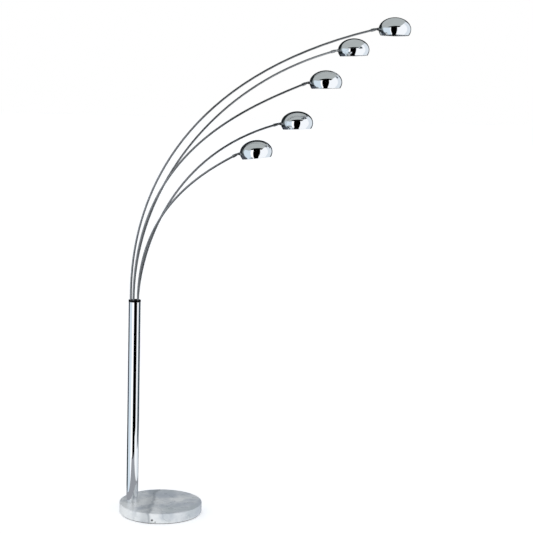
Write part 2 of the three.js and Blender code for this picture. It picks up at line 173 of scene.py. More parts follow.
def build_studio():
    world = bpy.data.worlds.new("studio")
    world.use_nodes = True
    tree = world.node_tree
    tree.nodes.clear()
    direction = add_node(tree, "ShaderNodeTexCoord").outputs["Generated"]
    parts = add_node(tree, "ShaderNodeSeparateXYZ", {"Vector": direction})
    towards_camera = maths(tree, "MULTIPLY", parts.outputs["Y"], -1.0)
    azimuth = maths(tree, "ARCTAN2", parts.outputs["X"], towards_camera)
    elevation = maths(tree, "ARCSINE", parts.outputs["Z"])

    room = DARK_ROOM
    for across, upright, softness, light in STUDIO_PANELS.values():
        mask = maths(
            tree,
            "MULTIPLY",
            within(tree, azimuth, across, softness),
            within(tree, elevation, upright, softness),
        )
        room = blend_colours(tree, mask, room, light)

    height = ease(tree, elevation, 0.0, pi / 2)
    daylight = blend_colours(tree, height, HORIZON_LIGHT, OVERHEAD_LIGHT)
    path = add_node(tree, "ShaderNodeLightPath")
    light = blend_colours(tree, path.outputs["Is Glossy Ray"], daylight, room)
    seen = blend_colours(tree, path.outputs["Is Camera Ray"], light, BACKDROP)
    background = add_node(tree, "ShaderNodeBackground", {"Color": seen})
    output = add_node(tree, "ShaderNodeOutputWorld")
    tree.links.new(background.outputs[0], output.inputs["Surface"])
    return world


scene.world = build_studio()
scene.view_settings.view_transform = "Standard"
print("studio panels:", ", ".join(STUDIO_PANELS))

# %% [markdown]
# A world shader knows a ray's direction but not where the ray starts, so all its panels are endlessly
# far away. The nearest things in a studio aren't: the dark gap around the camera stands a little to
# the right of the column and a little to the left of the outermost shade, and each piece mirrors it
# in another place. So the gap, the dark strip above it, the grey ceiling panel and three low cards
# near the column are real cards. Only reflections see them. The last card is grey and lies just
# under the floor, where it cuts the column's dark stripe off above the stone. The real studio isn't
# known: the places and greys of the panels and cards were chosen by trying until the chrome looked
# right from the main camera, so from other sides the reflections are only plausible.

# %% Cards near the lamp
def card(name, corners, light):
    """A four-cornered glowing card, in metres, that only glossy rays meet."""
    solid = bmesh.new()
    solid.faces.new([solid.verts.new(corner) for corner in corners])
    mesh = bpy.data.meshes.new(name)
    solid.to_mesh(mesh)
    solid.free()
    material = bpy.data.materials.new(name)
    material.use_nodes = True
    tree = material.node_tree
    shader = tree.nodes["Principled BSDF"]
    shader.inputs["Base Color"].default_value = (0, 0, 0, 1)
    shader.inputs["Specular IOR Level"].default_value = 0.0
    shader.inputs["Emission Strength"].default_value = 1.0
    place = add_node(tree, "ShaderNodeTexCoord").outputs["Object"]
    cloth = add_node(tree, "ShaderNodeTexNoise", {"Vector": place, "Scale": 2.5}).outputs[0]
    duller = tuple(0.9 * part for part in light)
    brighter = tuple(1.1 * part for part in light)
    shade = blend_colours(tree, cloth, duller, brighter)
    tree.links.new(shade, shader.inputs["Emission Color"])
    mesh.materials.append(material)
    stand = bpy.data.objects.new(name, mesh)
    scene.collection.objects.link(stand)
    stand.visible_camera = False
    stand.visible_diffuse = False
    stand.visible_transmission = False
    stand.visible_shadow = False
    stand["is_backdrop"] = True
    return stand


# Each upright card stands from one place on the floor to another, between two heights. Each level
# card is given as its range across, its range in depth and its height. All are in metres.
BLACK = (0, 0, 0, 1)
GAP_FRONT = -1.73
STRIP_HEIGHT = 2.66
PANELS_RIGHT = 1.55  # where the strip and the ceiling panel end
LOW_CARD_BACK = 3.0
LOW_CARD = (0.0, 0.8)
UPRIGHT_CARDS = {
    "dark_gap": ((-0.42, GAP_FRONT), (1.1, GAP_FRONT), (-4.0, STRIP_HEIGHT), BLACK),
    "near_card": ((0.17, -0.5), (0.50, -0.5), (0.17, 0.95), BLACK),
    "slate_card": ((0.9, -0.04), (0.9, LOW_CARD_BACK), LOW_CARD, (0.055, 0.08, 0.10, 1)),
    "grey_card": ((-1.1, 0.24), (-1.1, LOW_CARD_BACK), LOW_CARD, (0.07, 0.08, 0.10, 1)),
}
LEVEL_CARDS = {
    "dark_strip": ((-0.95, PANELS_RIGHT), (GAP_FRONT, -0.95), STRIP_HEIGHT, BLACK),
    "ceiling_panel": ((-2.4, PANELS_RIGHT), (GAP_FRONT, 1.0), 2.75, (0.46, 0.49, 0.49, 1)),
    "mirrored_sheet": ((-0.42, 0.35), (-0.85, 0.3), -0.0001, (0.34, 0.35, 0.38, 1)),
}

for name, (start, end, (low, high), light) in UPRIGHT_CARDS.items():
    card(name, ((*start, low), (*end, low), (*end, high), (*start, high)), light)
for name, ((left, right), (front, back), height, light) in LEVEL_CARDS.items():
    floor_plan = ((left, front), (right, front), (right, back), (left, back))
    card(name, [(*corner, height) for corner in floor_plan], light)
print("cards:", *UPRIGHT_CARDS, *LEVEL_CARDS)

# %% [markdown]
# ## Soft front lights and a pale floor
# Two large softboxes low in front light the sides of the stone more than its top. They are hidden
# from glossy rays, so they add no extra streaks to the chrome. The floor is a plain pale sweep.

# %% Light the lamp from the front
def softbox(name, place, aim, size, power):
    light = bpy.data.lights.new(name, "AREA")
    light.shape = "SQUARE"
    light.size = size
    light.energy = power
    box = bpy.data.objects.new(name, light)
    scene.collection.objects.link(box)
    box.location = place
    box.rotation_euler = (Vector(aim) - Vector(place)).to_track_quat("-Z", "Y").to_euler()
    box.visible_glossy = False
    return box


softbox("softbox_left", (-2.6, -3.4, 1.1), (0, 0, 0.5), 1.8, 14)
softbox("softbox_right", (2.8, -3.0, 1.3), (0, 0, 0.5), 1.8, 10)

# %% [markdown]
# ## Finishes
# Each finish is a small node tree on the one Principled shader. Values that are the same all over go
# straight into the shader's sockets, and only what really varies, such as haze, veins or fibres, is
# a texture. All textures use object coordinates in metres, so a scale of 1000 is about one
# millimetre, and they stay on their piece when it turns.

# %% Helpers for finishes
def new_finish(name, sockets):
    """A material whose shader has the given plain values."""
    material = bpy.data.materials.new(name)
    material.use_nodes = True
    shader = material.node_tree.nodes["Principled BSDF"]
    for socket, value in sockets.items():
        shader.inputs[socket].default_value = value
    return material, material.node_tree, shader


def lamp_coordinates(tree):
    return add_node(tree, "ShaderNodeTexCoord").outputs["Object"]


def clouds(tree, place, scale, detail=3.0, roughness=0.5, distortion=0.0):
    inputs = {
        "Vector": place,
        "Scale": scale,
        "Detail": detail,
        "Roughness": roughness,
        "Distortion": distortion,
    }
    return add_node(tree, "ShaderNodeTexNoise", inputs).outputs[0]


def stretched(tree, place, stretch):
    inputs = {"Vector": place, "Scale": stretch}
    return add_node(tree, "ShaderNodeMapping", inputs).outputs["Vector"]


def roughen(tree, shader, pattern, smoothest, roughest):
    tree.links.new(ease(tree, pattern, 0.3, 0.7, smoothest, roughest), shader.inputs["Roughness"])


def emboss(tree, shader, height, depth, strength):
    inputs = {"Height": height, "Distance": depth, "Strength": strength}
    bump = add_node(tree, "ShaderNodeBump", inputs)
    tree.links.new(bump.outputs["Normal"], shader.inputs["Normal"])


def colour_by(tree, shader, share, first, second):
    tree.links.new(blend_colours(tree, share, first, second), shader.inputs["Base Color"])


# %% [markdown]
# ### Chrome plate
# Bright chrome over polished steel tube is nearly a mirror, slightly cool in colour. It is never
# quite perfect: the buffing leaves long shallow waves, handling leaves a faint haze, and the polish
# is a little duller in patches. Low metallic roughness with a patchy haze and a very small bump
# gives that, where a perfect mirror would look like computer graphics. The bent arms and the necks
# get a darker chrome, and that darkness is painted shade, not a fact about their plating: so thin a
# tube blends the whole bright studio into one grey, which came out too light, so a darker base
# colour stands in for darker reflections.

# %% Chrome plate and its satin inside
def chrome_plate(name, colour, smoothest, roughest):
    material, tree, shader = new_finish(name, {"Base Color": colour, "Metallic": 1.0})
    place = lamp_coordinates(tree)
    haze = clouds(tree, place, 38, detail=4)
    roughen(tree, shader, haze, smoothest, roughest)
    waves = clouds(tree, stretched(tree, place, (1, 1, 0.25)), 22, detail=1)
    emboss(tree, shader, waves, 0.4 * MM, 0.003)
    return material


def spun_satin():
    """The inside of a shade, left with the fine rings of the spinning lathe."""
    sockets = {"Base Color": (0.78, 0.79, 0.80, 1), "Metallic": 1.0}
    material, tree, shader = new_finish("spun_satin", sockets)
    place = lamp_coordinates(tree)
    inputs = {"Vector": place, "Scale": 260, "Distortion": 0.4, "Detail": 2}
    rings = add_node(tree, "ShaderNodeTexWave", inputs, wave_type="RINGS", rings_direction="Z")
    roughen(tree, shader, clouds(tree, place, 60), 0.24, 0.36)
    emboss(tree, shader, rings.outputs["Fac"], 0.05 * MM, 0.35)
    return material


CHROME = chrome_plate("chrome_plate", (0.86, 0.875, 0.89, 1), 0.015, 0.04)
# Painted shade: the arms' and necks' chrome gets a darker base colour that stands in for darker
# reflections.
SHADED_TUBE_CHROME = chrome_plate("chrome_darkened_as_shade", (0.30, 0.31, 0.32, 1), 0.05, 0.10)
SATIN = spun_satin()
print("made", CHROME.name, SHADED_TUBE_CHROME.name, "and", SATIN.name)

# %% [markdown]
# ### Marble
# White marble is pale calcite with grey mineral veins that were squeezed and folded, so its pattern
# runs through the whole block, and a vein on the top goes on down the side. A three-dimensional
# texture does the same. Broad clouds give the bluish and greenish greys, thin veins are the places
# where a noise crosses its middle value, and the one strong vein is a sheet through the stone, bent
# by the same noise. A few dark mineral flecks stand near the front edge.

# %% Marble: clouds, veins and flecks
STONE_WHITE = (0.80, 0.82, 0.82, 1)
STONE_GREY = (0.50, 0.54, 0.585, 1)
STONE_GREEN = (0.58, 0.63, 0.61, 1)
VEIN_GREY = (0.26, 0.29, 0.32, 1)
FLECK_DARK = (0.03, 0.028, 0.035, 1)
MAIN_VEIN_X = -0.034  # where the main vein crosses the base from back to front
MAIN_VEIN_SLANT = 0.11
FLECKS = (
    ((-0.034, -0.166, 0.016), 0.0060),
    ((-0.021, -0.169, 0.009), 0.0034),
    ((-0.037, -0.166, 0.005), 0.0026),
    ((-0.029, -0.167, 0.006), 0.0022),
)


def bent(tree, place, scale, amount):
    """Coordinates pushed about by a noise, which folds whatever pattern comes after."""
    inputs = {"Vector": place, "Scale": scale, "Detail": 4}
    push = add_node(tree, "ShaderNodeTexNoise", inputs).outputs["Color"]
    middle = add_node(tree, "ShaderNodeVectorMath", {0: push, 1: (0.5, 0.5, 0.5)}, operation="SUBTRACT")
    inputs = {0: middle.outputs[0], "Scale": amount}
    scaled = add_node(tree, "ShaderNodeVectorMath", inputs, operation="SCALE")
    inputs = {0: place, 1: scaled.outputs[0]}
    return add_node(tree, "ShaderNodeVectorMath", inputs, operation="ADD").outputs[0]


def distance_to_main_vein(tree, place):
    parts = add_node(tree, "ShaderNodeSeparateXYZ", {"Vector": place})
    slant = maths(tree, "MULTIPLY", parts.outputs["Y"], MAIN_VEIN_SLANT)
    middle = maths(tree, "ADD", slant, MAIN_VEIN_X)
    return maths(tree, "SUBTRACT", parts.outputs["X"], middle)


def thin_veins(tree, place, scale, width):
    crossing = maths(tree, "SUBTRACT", clouds(tree, place, scale, 5, 0.55), 0.5)
    return ease(tree, maths(tree, "ABSOLUTE", crossing), 0.0, width, 1.0, 0.0)


def polished_marble():
    sockets = {"Base Color": STONE_WHITE, "IOR": 1.5, "Specular IOR Level": 0.3}
    material, tree, shader = new_finish("polished_marble", sockets)
    place = lamp_coordinates(tree)
    folded = bent(tree, place, 7, 0.055)
    cloudy = ease(tree, clouds(tree, folded, 9, 6, 0.6), 0.38, 0.66)
    stone = blend_colours(tree, cloudy, STONE_WHITE, STONE_GREY)
    greenish = ease(tree, clouds(tree, folded, 5, 3), 0.55, 0.75, 0.0, 0.6)
    stone = blend_colours(tree, greenish, stone, STONE_GREEN)

    patchy = ease(tree, clouds(tree, place, 6, 2), 0.4, 0.7)
    fine = maths(tree, "MULTIPLY", thin_veins(tree, folded, 8, 0.03), patchy)
    stone = blend_colours(tree, maths(tree, "MULTIPLY", fine, 0.5), stone, VEIN_GREY)

    across = distance_to_main_vein(tree, bent(tree, place, 16, 0.05))
    beside = maths(tree, "ABSOLUTE", maths(tree, "ADD", across, 0.012))
    halo = ease(tree, beside, 0.004, 0.035, 0.34, 0.0)
    stone = blend_colours(tree, halo, stone, VEIN_GREY)
    core = ease(tree, maths(tree, "ABSOLUTE", across), 0.001, 0.011, 0.52, 0.0)
    stone = blend_colours(tree, core, stone, VEIN_GREY)

    ragged = bent(tree, place, 320, 0.004)
    for centre, size in FLECKS:
        away = add_node(tree, "ShaderNodeVectorMath", {0: ragged, 1: centre}, operation="DISTANCE")
        spot = ease(tree, away.outputs["Value"], size * 0.45, size, 0.95, 0.0)
        stone = blend_colours(tree, spot, stone, FLECK_DARK)

    grain = ease(tree, clouds(tree, place, 900, 2), 0.3, 0.7, 0.94, 1.0)
    stone = blend_colours(tree, 1.0, stone, grain, "MULTIPLY")
    tree.links.new(stone, shader.inputs["Base Color"])
    roughen(tree, shader, clouds(tree, folded, 30, 4), 0.26, 0.38)
    emboss(tree, shader, clouds(tree, place, 260, 3), 0.08 * MM, 0.12)
    return material


MARBLE = polished_marble()
print("marble nodes:", len(MARBLE.node_tree.nodes))

# %% [markdown]
# ### The quiet finishes
# Felt, zinc plate, moulded nylon, rubber, ceramic and glass are small or half hidden, but someone
# who looks under the base or into a shade sees them. Each gets the one or two things that make its
# stuff plain: fibres in the felt, spangle in the zinc, smoke in the black chrome, a fine moulded
# grain in the nylon, a matt bloom on the rubber, tiny pits in the ceramic. Most are the same small
# tree with other patterns and values, so one function makes them.

# %% Felt, zinc, nylon, rubber, ceramic, glass and tungsten
def pressed_felt():
    sockets = {"Roughness": 0.95, "Sheen Weight": 0.5, "Sheen Roughness": 0.6}
    material, tree, shader = new_finish("pressed_felt", sockets)
    place = bent(tree, lamp_coordinates(tree), 500, 0.003)
    fibres = clouds(tree, stretched(tree, place, (1, 0.35, 1)), 1500, 4)
    colour_by(tree, shader, fibres, (0.018, 0.018, 0.020, 1), (0.075, 0.072, 0.070, 1))
    emboss(tree, shader, fibres, 0.6 * MM, 0.8)
    return material


def cells(tree, place, scale):
    inputs = {"Vector": place, "Scale": scale}
    return add_node(tree, "ShaderNodeTexVoronoi", inputs).outputs["Distance"]


def quiet_finish(name, sockets, tint, dark, light, haze, smoothest, roughest, relief=None):
    """Patterns for the colour, the roughness and, with its depth and strength, the relief."""
    material, tree, shader = new_finish(name, sockets)
    place = lamp_coordinates(tree)

    def drawn(pattern, *settings):
        return pattern(tree, place, *settings)

    colour_by(tree, shader, drawn(*tint), (*dark, 1), (*light, 1))
    roughen(tree, shader, drawn(*haze), smoothest, roughest)
    if relief:
        pattern, depth, strength = relief
        emboss(tree, shader, drawn(*pattern), depth * MM, strength)
    return material


def quartz_glass():
    sockets = {"Base Color": (0.97, 0.98, 0.97, 1), "Transmission Weight": 1.0, "IOR": 1.46}
    material, tree, shader = new_finish("quartz_glass", sockets)
    roughen(tree, shader, clouds(tree, lamp_coordinates(tree), 220, 3), 0.0, 0.05)
    return material


METAL = {"Metallic": 1.0}
SMOKE = (clouds, 120, 3)
GRAIN = (clouds, 2200, 3)
BLOOM = (clouds, 300, 4)
DRAWN_WIRE = (clouds, 3000, 2)

FELT = pressed_felt()
ZINC = quiet_finish(
    "zinc_plate", METAL,
    (cells, 420), (0.50, 0.515, 0.53), (0.68, 0.69, 0.70),
    (clouds, 240, 4), 0.28, 0.46,
    ((clouds, 1800, 2), 0.03, 0.3),
)
COLLAR = quiet_finish(
    "black_chrome", METAL,
    SMOKE, (0.006, 0.007, 0.008), (0.012, 0.013, 0.014),
    SMOKE, 0.10, 0.2,
)
NYLON = quiet_finish(
    "moulded_nylon", {"IOR": 1.5},
    GRAIN, (0.012, 0.012, 0.013), (0.028, 0.028, 0.030),
    GRAIN, 0.38, 0.52,
    (GRAIN, 0.05, 0.4),
)
RUBBER = quiet_finish(
    "grommet_rubber", {"IOR": 1.5},
    BLOOM, (0.016, 0.016, 0.017), (0.045, 0.044, 0.043),
    BLOOM, 0.66, 0.86,
    ((clouds, 2600, 2), 0.05, 0.5),
)
CERAMIC = quiet_finish(
    "glazed_ceramic", {"IOR": 1.52, "Coat Weight": 0.4, "Coat Roughness": 0.12},
    (clouds, 180, 3), (0.80, 0.78, 0.73), (0.88, 0.87, 0.83),
    (clouds, 500, 3), 0.30, 0.45,
    ((cells, 1400), 0.05, 0.25),
)
GLASS = quartz_glass()
TUNGSTEN = quiet_finish(
    "tungsten", METAL,
    DRAWN_WIRE, (0.28, 0.27, 0.27), (0.45, 0.44, 0.43),
    DRAWN_WIRE, 0.3, 0.5,
)
print("finishes:", [m.name for m in (FELT, ZINC, COLLAR, NYLON, RUBBER, CERAMIC, GLASS, TUNGSTEN)])

# %% [markdown]
# ## Turning
# Nearly every piece of this lamp comes off a lathe or a spinning machine, so one helper turns an
# outline about an axis. Outlines are given as corners in millimetres, each with its own rounding,
# because no machined edge is truly sharp, and it is the small highlight on a rounded edge that makes
# metal look real. A Screw modifier could turn the outline too, but the code keeps the sides exact.

# %% Helpers for turned pieces
ON_AXIS = 1e-6


def soften(corners, steps=4):
    """Rounds an outline. A corner is (radius, height) or (radius, height, rounding)."""
    points = []
    for i, corner in enumerate(corners):
        here = Vector(corner[:2])
        rounding = corner[2] if len(corner) > 2 else 0
        if not rounding:
            points.append(here)
            continue
        before = (Vector(corners[i - 1][:2]) - here).normalized()
        after = (Vector(corners[(i + 1) % len(corners)][:2]) - here).normalized()
        half = before.angle(after) / 2
        centre = here + (before + after).normalized() * (rounding / sin(half))
        first = here + before * (rounding / tan(half)) - centre
        last = here + after * (rounding / tan(half)) - centre
        for k in range(steps + 1):
            spoke = first.normalized().slerp(last.normalized(), k / steps)
            points.append(centre + spoke.normalized() * rounding)
    return points


def bridge(solid, lower, upper):
    """Joins two rings of corners with faces. A ring of one corner is a point on the axis."""
    count = max(len(lower), len(upper))
    for k in range(count):
        corners = []
        for corner in (
            lower[k % len(lower)],
            lower[(k + 1) % len(lower)],
            upper[(k + 1) % len(upper)],
            upper[k % len(upper)],
        ):
            if corner not in corners:
                corners.append(corner)
        if len(corners) > 2:
            solid.faces.new(corners)


def to_mesh(name, solid):
    bmesh.ops.recalc_face_normals(solid, faces=solid.faces[:])
    mesh = bpy.data.meshes.new(name)
    solid.to_mesh(mesh)
    solid.free()
    return mesh


def turned(name, outline, sides=96):
    """Turns an outline of (radius, height) points about Z. One that leaves the axis makes a ring."""
    solid = bmesh.new()
    rings = []
    for radius, height in outline:
        corners = sides if radius > ON_AXIS else 1
        rings.append([
            solid.verts.new((
                radius * MM * cos(2 * pi * k / sides),
                radius * MM * sin(2 * pi * k / sides),
                height * MM,
            ))
            for k in range(corners)
        ])
    for lower, upper in zip(rings, rings[1:]):
        bridge(solid, lower, upper)
    if len(rings[0]) > 1:
        bridge(solid, rings[-1], rings[0])
    return to_mesh(name, solid)


def drum(name, radius, low, high, rounding=0.0, sides=96):
    outline = [(0, low), (radius, low, rounding), (radius, high, rounding), (0, high)]
    return turned(name, soften(outline), sides)


def box_mesh(name, low, high):
    """A block between two corners, for cutting with."""
    solid = bmesh.new()
    size = Vector(high) - Vector(low)
    place = Matrix.Translation((Vector(low) + size / 2) * MM) @ Matrix.Diagonal((*(size * MM), 1))
    bmesh.ops.create_cube(solid, size=1, matrix=place)
    return to_mesh(name, solid)


# %% [markdown]
# Holes, slots and welded joints are made with Boolean modifiers, whose result is then kept as the
# mesh. The exact solver is slower than the fast one, but it leaves clean closed solids.

# %% Helpers for holes, joints and placing
ALONG_X = Matrix.Rotation(pi / 2, 4, "Y")
ALONG_Y = Matrix.Rotation(-pi / 2, 4, "X")
SHARP_TURN = radians(38)  # faces that meet more sharply get a crisp edge
pieces_made = []


def moved(mesh, place):
    mesh.transform(place)
    return mesh


def shifted(mesh, x=0.0, y=0.0, z=0.0):
    return moved(mesh, Matrix.Translation(Vector((x, y, z)) * MM))


def evaluated_mesh(worker, name):
    """What an object looks like once its modifiers or its curve's bevel are worked out."""
    graph = bpy.context.evaluated_depsgraph_get()
    mesh = bpy.data.meshes.new_from_object(worker.evaluated_get(graph))
    mesh.name = name
    return mesh


def combine(mesh, operation, others):
    """Cuts others out of a mesh, joins them to it, or keeps what they share."""
    workers = [bpy.data.objects.new("worker", mesh)]
    for other in others:
        workers.append(bpy.data.objects.new("worker", other))
        modifier = workers[0].modifiers.new("combine", "BOOLEAN")
        modifier.operation = operation
        modifier.solver = "EXACT"
        modifier.object = workers[-1]
    for worker in workers:
        scene.collection.objects.link(worker)
    result = evaluated_mesh(workers[0], mesh.name)
    for worker in workers:
        bpy.data.objects.remove(worker)
    return result


def wire_curve(name, radius, roundness):
    """An empty curve that draws a round bar of this radius."""
    curve = bpy.data.curves.new(name, "CURVE")
    curve.dimensions = "3D"
    curve.bevel_depth = radius * MM
    curve.bevel_resolution = roundness
    curve.use_fill_caps = True
    return curve


def from_curve(curve):
    """The mesh that a curve with a round bevel draws."""
    worker = bpy.data.objects.new("worker", curve)
    scene.collection.objects.link(worker)
    mesh = evaluated_mesh(worker, curve.name)
    bpy.data.objects.remove(worker)
    return mesh


def surfaced(mesh, *finishes):
    """Gives a mesh its finishes, smooth faces and crisp edges where it turns sharply."""
    mesh.materials.clear()
    for finish in finishes:
        mesh.materials.append(finish)
    mesh.shade_smooth()
    mesh.set_sharp_from_angle(angle=SHARP_TURN)
    return mesh


def put(name, data, place, body, slot, *nodes):
    """Adds a piece to the lamp: it rides on a body and stands for its CAD nodes."""
    piece = bpy.data.objects.new(name, data)
    scene.collection.objects.link(piece)
    piece.matrix_world = place
    modifier = piece.modifiers.new("even_shading", "WEIGHTED_NORMAL")
    modifier.keep_sharp = True
    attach(piece, body)
    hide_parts(*nodes)
    pieces_made.append(name)
    return piece


# %% [markdown]
# ## The base
# The base is a disc sawn from a slab, turned true and polished, with its rims just broken by a
# stone. Under it are a round recess for the fixing nut and a channel that takes the cord to the
# back, and a felt pad covers them. The sizes come from the frame, so the stone lands exactly where
# the solid model holds it.

# %% Sizes read from the frame, in millimetres
def node_span(node):
    low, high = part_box(node)
    return low / MM, high / MM


stone_low, stone_high = node_span("marble_base")
BASE_RADIUS = (stone_high.x - stone_low.x) / 2
column_low, column_high = node_span("column_tube")
COLUMN_X = (column_low.x + column_high.x) / 2
COLUMN_RADIUS = (column_high.x - column_low.x) / 2
collar_low, collar_high = node_span("top_collar")
washer_low, washer_high = node_span("base_washer")
bushing_low, bushing_high = node_span("cord_bushing")
rod_low, rod_high = node_span("tie_rod")
ROD_RADIUS = (rod_high.y - rod_low.y) / 2
WASHER_RADIUS = (washer_high.y - washer_low.y) / 2
AT_COLUMN = Matrix.Translation((COLUMN_X * MM, 0, 0))
IN_PLACE = Matrix.Identity(4)
print("base radius", round(BASE_RADIUS, 1), "column radius", round(COLUMN_RADIUS, 1))

# %% The marble disc
EDGE_BREAK = 2.5
RECESS_MARGIN = 5
CHANNEL_SPARE = 0.3
FIT = 0.3


def marble_disc():
    slab = drum("marble_disc", BASE_RADIUS, stone_low.z, stone_high.z, EDGE_BREAK, 192)
    recess = drum("recess", WASHER_RADIUS + RECESS_MARGIN, stone_low.z - 1, washer_high.z, sides=96)
    rod_hole = drum("rod_hole", ROD_RADIUS + FIT, 0, stone_high.z + 1, sides=48)
    channel = box_mesh(
        "channel",
        (bushing_low.x - COLUMN_X - CHANNEL_SPARE, 0, stone_low.z - 1),
        (bushing_high.x - COLUMN_X + CHANNEL_SPARE, BASE_RADIUS, bushing_high.z + CHANNEL_SPARE),
    )
    cuts = [moved(cut, AT_COLUMN) for cut in (recess, rod_hole, channel)]
    return surfaced(combine(slab, "DIFFERENCE", cuts), MARBLE)


put("marble_disc", marble_disc(), IN_PLACE, "stand", "marble", "marble_base")

# %% The felt pad and the cord bushing
pad_low, pad_high = node_span("base_pad")
PAD_RADIUS = (pad_high.x - pad_low.x) / 2
felt = drum("felt_pad", PAD_RADIUS, pad_low.z, pad_high.z, 0.8, 144)
put("felt_pad", surfaced(felt, FELT), IN_PLACE, "stand", "felt", "base_pad")


def rubber_bushing():
    """A moulded block with rounded edges and the cord's bore through it."""
    block = box_mesh("rubber_bushing", bushing_low, bushing_high)
    solid = bmesh.new()
    solid.from_mesh(block)
    bmesh.ops.bevel(solid, geom=solid.edges[:], offset=0.8 * MM, segments=3, affect="EDGES")
    block = to_mesh("rubber_bushing", solid)
    middle = (bushing_low + bushing_high) / 2
    length = bushing_high.y - bushing_low.y
    bore = moved(drum("bore", 3, -length, length, sides=32), ALONG_Y)
    return combine(block, "DIFFERENCE", [shifted(bore, *middle)])


put("rubber_bushing", surfaced(rubber_bushing(), RUBBER), IN_PLACE, "stand", "rubber", "cord_bushing")
print("base pieces:", pieces_made)

# %% [markdown]
# ## Under the base
# A threaded tie rod pulls the column down onto the stone with a washer and a nut. Only someone who
# turns the lamp over sees them, but a nut without its chamfers reads at once as a toy. The rod's
# thread is turned as rings, which at this size looks the same as a helix.

# %% Thread, washer and nuts
THREAD_PITCH = 1.0
THREAD_DEPTH = 0.55
ROD_BORE = 3.5


def hex_nut(name, across_flats, thickness, bore):
    """A hexagon whose corners are turned off on both faces, as a real nut's are."""
    corner = across_flats / sqrt(3)
    blank = turned(name, [(0, 0), (corner, 0), (corner, thickness), (0, thickness)], 6)
    face = across_flats / 2 * 0.97
    slope = (corner - face) * 0.55
    rising = [(0, 0), (face, 0), (corner, slope)]
    barrel = rising + [(radius, thickness - height) for radius, height in reversed(rising)]
    chamfered = combine(blank, "INTERSECT", [turned("barrel", barrel, 72)])
    hole = turned("hole", [(0, -1), (bore, -1), (bore, thickness + 1), (0, thickness + 1)], 48)
    return combine(chamfered, "DIFFERENCE", [hole])


def threaded_rod():
    outline = [(ROD_BORE, rod_low.z), (ROD_BORE, rod_high.z), (ROD_RADIUS - THREAD_DEPTH, rod_high.z)]
    turns = int((rod_high.z - rod_low.z) / THREAD_PITCH) - 1
    for k in range(turns):
        crest = rod_high.z - (k + 0.75) * THREAD_PITCH
        outline.append((ROD_RADIUS, crest))
        outline.append((ROD_RADIUS - THREAD_DEPTH, crest - THREAD_PITCH / 2))
    outline.append((ROD_RADIUS - THREAD_DEPTH, rod_low.z))
    return turned("threaded_rod", outline, 48)


nut_low, nut_high = node_span("base_nut")
NUT_FLATS = 19

put("threaded_rod", surfaced(threaded_rod(), ZINC), AT_COLUMN, "stand", "zinc_steel", "tie_rod")
washer = turned(
    "flat_washer",
    soften([
        (ROD_RADIUS + FIT, washer_low.z),
        (WASHER_RADIUS, washer_low.z, 0.6),
        (WASHER_RADIUS, washer_high.z, 0.3),
        (ROD_RADIUS + FIT, washer_high.z),
    ]),
)
put("flat_washer", surfaced(washer, ZINC), AT_COLUMN, "stand", "zinc_steel", "base_washer")
base_nut = hex_nut("fixing_nut", NUT_FLATS, nut_high.z - nut_low.z, ROD_RADIUS + FIT)
base_nut = surfaced(shifted(base_nut, z=nut_low.z), ZINC)
put("fixing_nut", base_nut, AT_COLUMN, "stand", "zinc_steel", "base_nut")


# Two hidden pieces keep their CAD shape and only get a finish.
for node, finish in (("column_foot_plug", ZINC), ("lower_guide", NYLON)):
    mesh = frame["nodes"][node].data
    mesh.materials.clear()
    mesh.materials.append(finish)
print("under the base:", pieces_made[-3:])

# %% [markdown]
# ## The column and its collar
# The column is a length of chromed tube. Its reflections are long straight bands, so its sides must
# be many and its ends lightly broken. The collar on top is a dark polished ring with five holes, one
# for each arm, each eased with a small countersink so that a turning arm doesn't scrape.

# %% Column tube
COLUMN_WALL = 1.5
column = turned(
    "column",
    soften([
        (COLUMN_RADIUS - COLUMN_WALL, column_low.z),
        (COLUMN_RADIUS, column_low.z, 0.4),
        (COLUMN_RADIUS, column_high.z, 0.5),
        (COLUMN_RADIUS - COLUMN_WALL, column_high.z),
    ]),
    160,
)
put("column", surfaced(column, CHROME), AT_COLUMN, "stand", "chrome", "column_tube")

# %% Collar with five eased holes
ARM_RADIUS = 4.2
TURN_GAP = 0.25
COUNTERSINK = 0.7
ARM_NUMBERS = (1, 2, 3, 4, 5)
joints = {joint["name"]: joint for joint in frame["joints"]}


def joint_place(kind, number):
    """Where a joint is, in millimetres."""
    return Vector(joints[f"{kind}_{number}"]["pos_m"]) / MM


def joint_axis(kind, number):
    return Vector(joints[f"{kind}_{number}"]["axis"]).normalized()


def collar():
    radius = (collar_high.x - collar_low.x) / 2
    skirt = COLUMN_RADIUS - COLUMN_WALL - FIT
    body = turned(
        "collar",
        soften([
            (0, collar_low.z),
            (skirt, collar_low.z, 0.8),
            (skirt, column_high.z),
            (radius, column_high.z, 0.4),
            (radius, collar_high.z, 1.6),
            (0, collar_high.z),
        ], steps=6),
        128,
    )
    hole = ARM_RADIUS + TURN_GAP
    cutter = [
        (0, collar_low.z - 1),
        (hole, collar_low.z - 1),
        (hole, collar_high.z - COUNTERSINK),
        (hole + COUNTERSINK, collar_high.z),
        (hole + COUNTERSINK, collar_high.z + 1),
        (0, collar_high.z + 1),
    ]
    holes = []
    for number in ARM_NUMBERS:
        place = joint_place("arm_swivel", number)
        holes.append(shifted(turned("hole", cutter, 48), x=place.x - COLUMN_X, y=place.y))
    return combine(body, "DIFFERENCE", holes)


put("collar", surfaced(collar(), COLLAR), AT_COLUMN, "stand", "black_plastic", "top_collar")
print("column", round(column_high.z - column_low.z), "mm long, collar top at", round(collar_high.z))

# %% [markdown]
# ## The five arms
# Each arm is a thin tube with a straight shank, which stands in the column, and one long bend. A
# tube bender sets the bend with a former, and here a Bezier curve does it with two handles: one
# keeps the shank's upright direction, the other keeps the direction of the arm's end. The ends come
# from the joints, so only the pull of the two handles is given. A curve with a round bevel is the
# natural way to draw a bent tube, and its result is kept as a mesh, so that its size can be measured.

